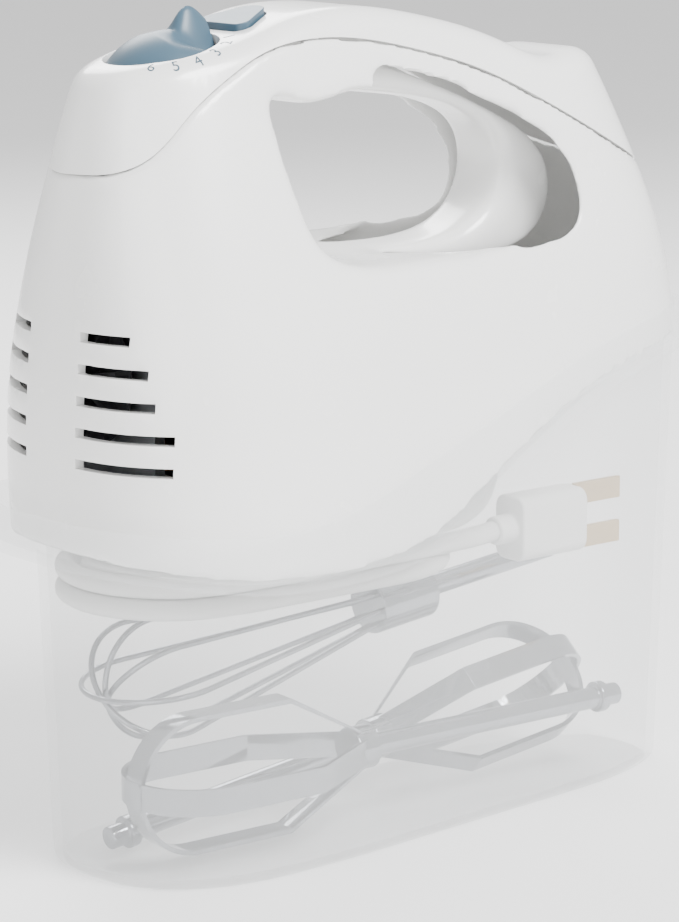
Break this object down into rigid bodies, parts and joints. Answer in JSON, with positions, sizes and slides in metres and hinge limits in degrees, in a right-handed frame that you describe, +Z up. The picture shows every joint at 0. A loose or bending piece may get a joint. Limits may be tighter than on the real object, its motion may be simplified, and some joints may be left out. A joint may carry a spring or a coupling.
{
  "type": "hand mixer",
  "caption": "Handheld electric kitchen mixer with speed dial and burst button, snapped onto a clear storage case holding its beaters, whisk and cord.",
  "frame": {"origin": "centre of the storage case's foot, on the surface it stands on", "axes": "+Z up through the case and the mixer, -X towards the rounded nose with the dial, +X towards the heel, +Y to the mixer's left side, with the dial facing forward"},
  "size_m": [0.2161, 0.1, 0.222],
  "materials": {
    "housing_white": "gloss",
    "case_frosted": "frosted",
    "control_blue": "satin",
    "chrome": "polished",
    "steel": "satin",
    "zinc_plate": "satin",
    "copper": "satin",
    "bronze": "satin",
    "nylon": "satin",
    "black_plastic": "matt",
    "carbon": "matt",
    "cord_white": "satin"
  },
  "bodies": {
    "case": {"storage_case": "case_frosted"},
    "mixer": {"lower_housing": "housing_white", "top_cover": "housing_white", "bottom_cover": "housing_white", "housing_screws": "steel", "stator_core": "steel", "field_coils": "copper", "front_bracket": "zinc_plate", "rear_bracket": "zinc_plate", "front_bearing": "bronze", "rear_bearing": "bronze", "brush_holders": "bronze", "carbon_brushes": "carbon", "gear_bridge": "nylon", "speed_switch": "black_plastic", "burst_switch": "black_plastic", "burst_spring": "steel", "ejector_spring": "steel", "strain_relief": "cord_white", "power_cord": "cord_white", "cord_tail": "cord_white", "cord_coil": "cord_white", "power_plug": "cord_white", "plug_blades": "bronze"},
    "armature": {"motor_shaft": "steel", "armature_core": "steel", "armature_windings": "copper", "commutator": "bronze", "worm": "steel", "cooling_fan": "black_plastic"},
    "left_drive": {"gear_left": "nylon", "spindle_left": "nylon"},
    "right_drive": {"gear_right": "nylon", "spindle_right": "nylon"},
    "ejector": {"ejector_carriage": "black_plastic"},
    "dial": {"speed_dial": "control_blue"},
    "burst": {"burst_button": "control_blue"},
    "beater_a": {"beater_a_blades": "chrome", "beater_a_shaft": "chrome"},
    "beater_b": {"beater_b_blades": "chrome", "beater_b_shaft": "chrome"},
    "whisk": {"whisk_wires": "chrome", "whisk_hub": "chrome", "whisk_shaft": "chrome"}
  },
  "joints": [
    {"name": "case_lift", "type": "slide", "parent": "case", "child": "mixer", "axis": [0, 0, 1], "range_m": [0, 0.28]},
    {"name": "beater_a_lift", "type": "slide", "parent": "case", "child": "beater_a", "axis": [0, 0, 1], "range_m": [0, 0.14]},
    {"name": "beater_b_lift", "type": "slide", "parent": "case", "child": "beater_b", "axis": [0, 0, 1], "range_m": [0, 0.14]},
    {"name": "whisk_lift", "type": "slide", "parent": "case", "child": "whisk", "axis": [0, 0, 1], "range_m": [0, 0.14]},
    {"name": "armature_spin", "type": "hinge", "parent": "mixer", "child": "armature", "pos_m": [0, 0, 0.131], "axis": [1, 0, 0], "continuous": true},
    {"name": "left_spindle_spin", "type": "hinge", "parent": "mixer", "child": "left_drive", "pos_m": [-0.0105, 0.0203, 0.131], "axis": [0, 0, 1], "continuous": true},
    {"name": "right_spindle_spin", "type": "hinge", "parent": "mixer", "child": "right_drive", "pos_m": [-0.0105, -0.0203, 0.131], "axis": [0, 0, 1], "continuous": true},
    {"name": "ejector_drop", "type": "slide", "parent": "mixer", "child": "ejector", "axis": [0, 0, -1], "range_m": [0, 0.004], "stiffness_N_per_m": 500, "springref_m": -0.002, "deforming": ["ejector_spring"]},
    {"name": "speed_dial_turn", "type": "hinge", "parent": "mixer", "child": "dial", "pos_m": [-0.0642, 0, 0.2099], "axis": [-0.1719, 0, 0.9851], "range_deg": [-125, 25]},
    {"name": "burst_press", "type": "slide", "parent": "mixer", "child": "burst", "axis": [0, 0, -1], "range_m": [0, 0.0025], "stiffness_N_per_m": 400, "springref_m": -0.002, "deforming": ["burst_spring"]}
  ],
  "couplings": [
    {"joint": "left_spindle_spin", "follows": "armature_spin", "ratio": -0.041667},
    {"joint": "right_spindle_spin", "follows": "armature_spin", "ratio": 0.041667},
    {"joint": "beater_a_lift", "follows": "case_lift", "ratio": 0.5},
    {"joint": "beater_b_lift", "follows": "case_lift", "ratio": 0.5},
    {"joint": "whisk_lift", "follows": "case_lift", "ratio": 0.5}
  ]
}
